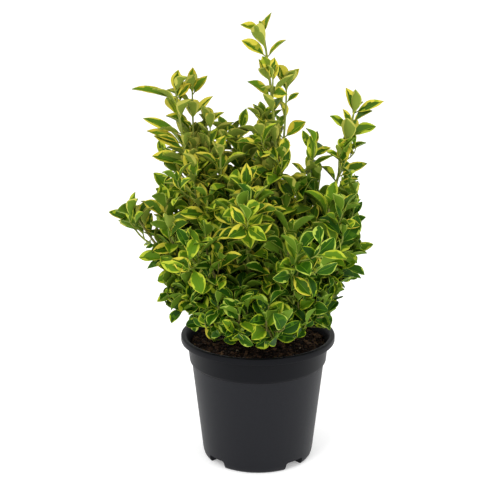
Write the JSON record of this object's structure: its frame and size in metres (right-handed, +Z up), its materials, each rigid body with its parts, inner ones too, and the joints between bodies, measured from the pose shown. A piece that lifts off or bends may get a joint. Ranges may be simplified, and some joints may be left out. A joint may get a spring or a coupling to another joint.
{
  "type": "variegated japanese euonymus shrub in a nursery pot",
  "caption": "Variegated evergreen shrub of upright leafy shoots on one short trunk, standing in a round black nursery pot filled with potting mix.",
  "frame": {"origin": "on the pot's axis, on the flat underside of the pot", "axes": "+Z up along the pot's axis, -Y the front that the picture shows, +X to its right"},
  "size_m": [0.329, 0.2937, 0.548],
  "materials": {
    "pot": "moulded black plastic, satin",
    "potting_mix": "damp dark peat and bark mix, rough",
    "bark": "olive-brown bark, finely ridged",
    "foliage": "leathery leaves, glossy dark green with golden margins"
  },
  "bodies": {
    "root": {"pot": "pot", "potting_mix": "potting_mix", "trunk": "bark", "bough_centre_tall": "bark", "foliage_centre_tall": "foliage", "bough_left_high": "bark", "foliage_left_high": "foliage", "bough_right_high": "bark", "foliage_right_high": "foliage", "bough_right_mid": "bark", "foliage_right_mid": "foliage", "bough_centre_back": "bark", "foliage_centre_back": "foliage", "bough_mid_left": "bark", "foliage_mid_left": "foliage", "bough_centre_front": "bark", "foliage_centre_front": "foliage", "bough_right_inner": "bark", "foliage_right_inner": "foliage", "bough_front_right": "bark", "foliage_front_right": "foliage", "bough_front_left": "bark", "foliage_front_left": "foliage", "bough_far_left": "bark", "foliage_far_left": "foliage", "bough_right_side": "bark", "foliage_right_side": "foliage", "bough_back_left": "bark", "foliage_back_left": "foliage", "bough_back_middle": "bark", "foliage_back_middle": "foliage", "bough_back_right": "bark", "foliage_back_right": "foliage", "foliage_low_left": "foliage", "foliage_low_left_front": "foliage", "foliage_low_front_left": "foliage", "foliage_low_front": "foliage", "foliage_low_front_right": "foliage", "foliage_low_right": "foliage", "foliage_low_back_right": "foliage", "foliage_low_back": "foliage", "foliage_low_back_left": "foliage"}
  },
  "joints": []
}
